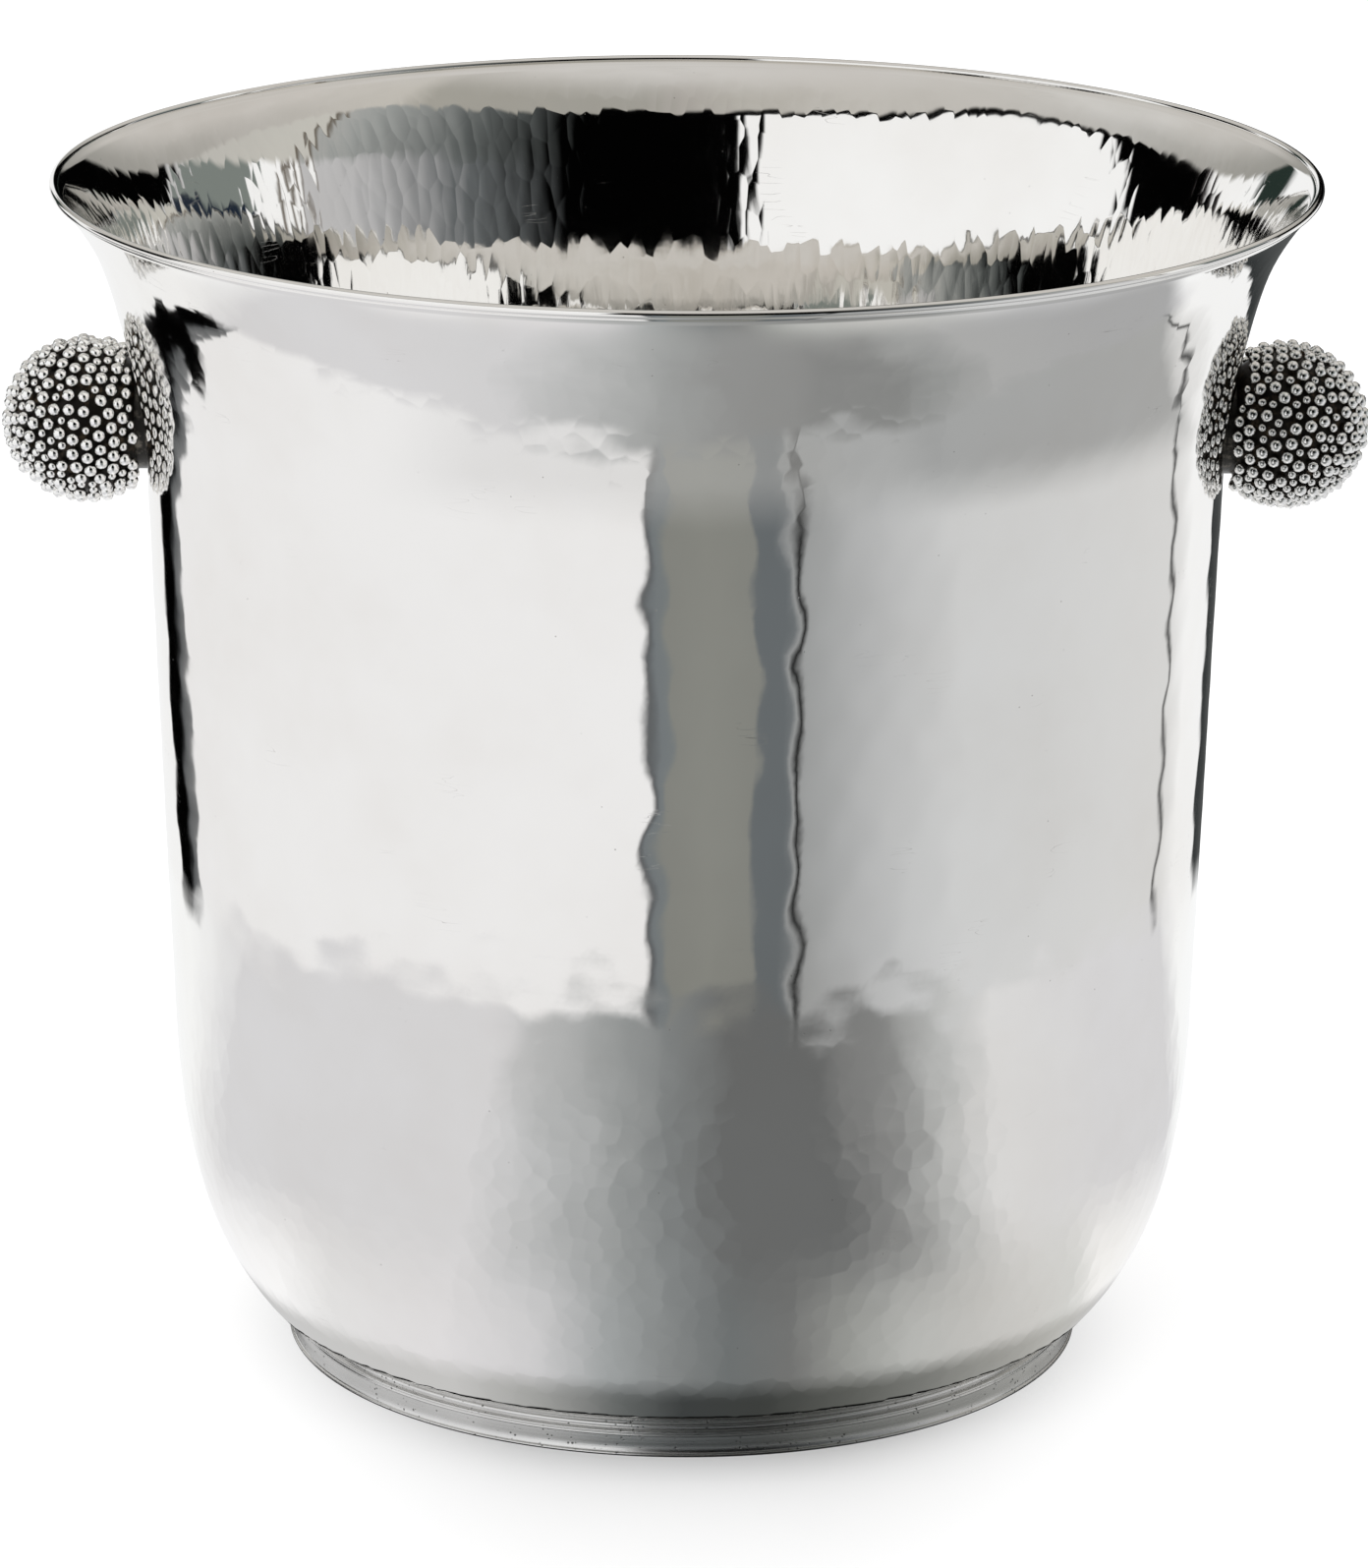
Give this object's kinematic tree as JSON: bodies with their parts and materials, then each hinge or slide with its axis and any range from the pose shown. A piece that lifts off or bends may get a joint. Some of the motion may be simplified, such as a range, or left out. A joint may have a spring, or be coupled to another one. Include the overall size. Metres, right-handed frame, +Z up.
{
  "type": "champagne bucket",
  "caption": "Hammered silver champagne bucket with a flared lip, a moulded foot ring and granulated ball knobs at the sides; it holds a wine or champagne bottle in ice.",
  "frame": {"origin": "centre of the foot ring, on the surface that it stands on", "axes": "+X from the bucket's axis through the right knob, +Y away from the side that is shown, +Z up"},
  "size_m": [0.25, 0.23, 0.2195],
  "materials": {
    "planished_silver": "hand-planished sterling silver, polished",
    "polished_wire": "polished silver wire",
    "satin_silver": "turned silver, satin",
    "oxidised_silver": "oxidised silver, brown-black, satin",
    "dark_collar": "silver, partly oxidised",
    "fixing_silver": "turned silver, satin",
    "granule_silver": "fused silver granules, bright"
  },
  "bodies": {
    "root": {"bucket_shell": "planished_silver", "rim_wire": "polished_wire", "foot_ring": "satin_silver", "right_core_outer": "oxidised_silver", "right_core_inner": "oxidised_silver", "right_collar": "dark_collar", "right_stud": "fixing_silver", "right_washer": "fixing_silver", "right_nut": "fixing_silver", "right_granules_large": "granule_silver", "right_granules_small": "granule_silver", "left_core_outer": "oxidised_silver", "left_core_inner": "oxidised_silver", "left_collar": "dark_collar", "left_stud": "fixing_silver", "left_washer": "fixing_silver", "left_nut": "fixing_silver", "left_granules_large": "granule_silver", "left_granules_small": "granule_silver"}
  },
  "joints": []
}
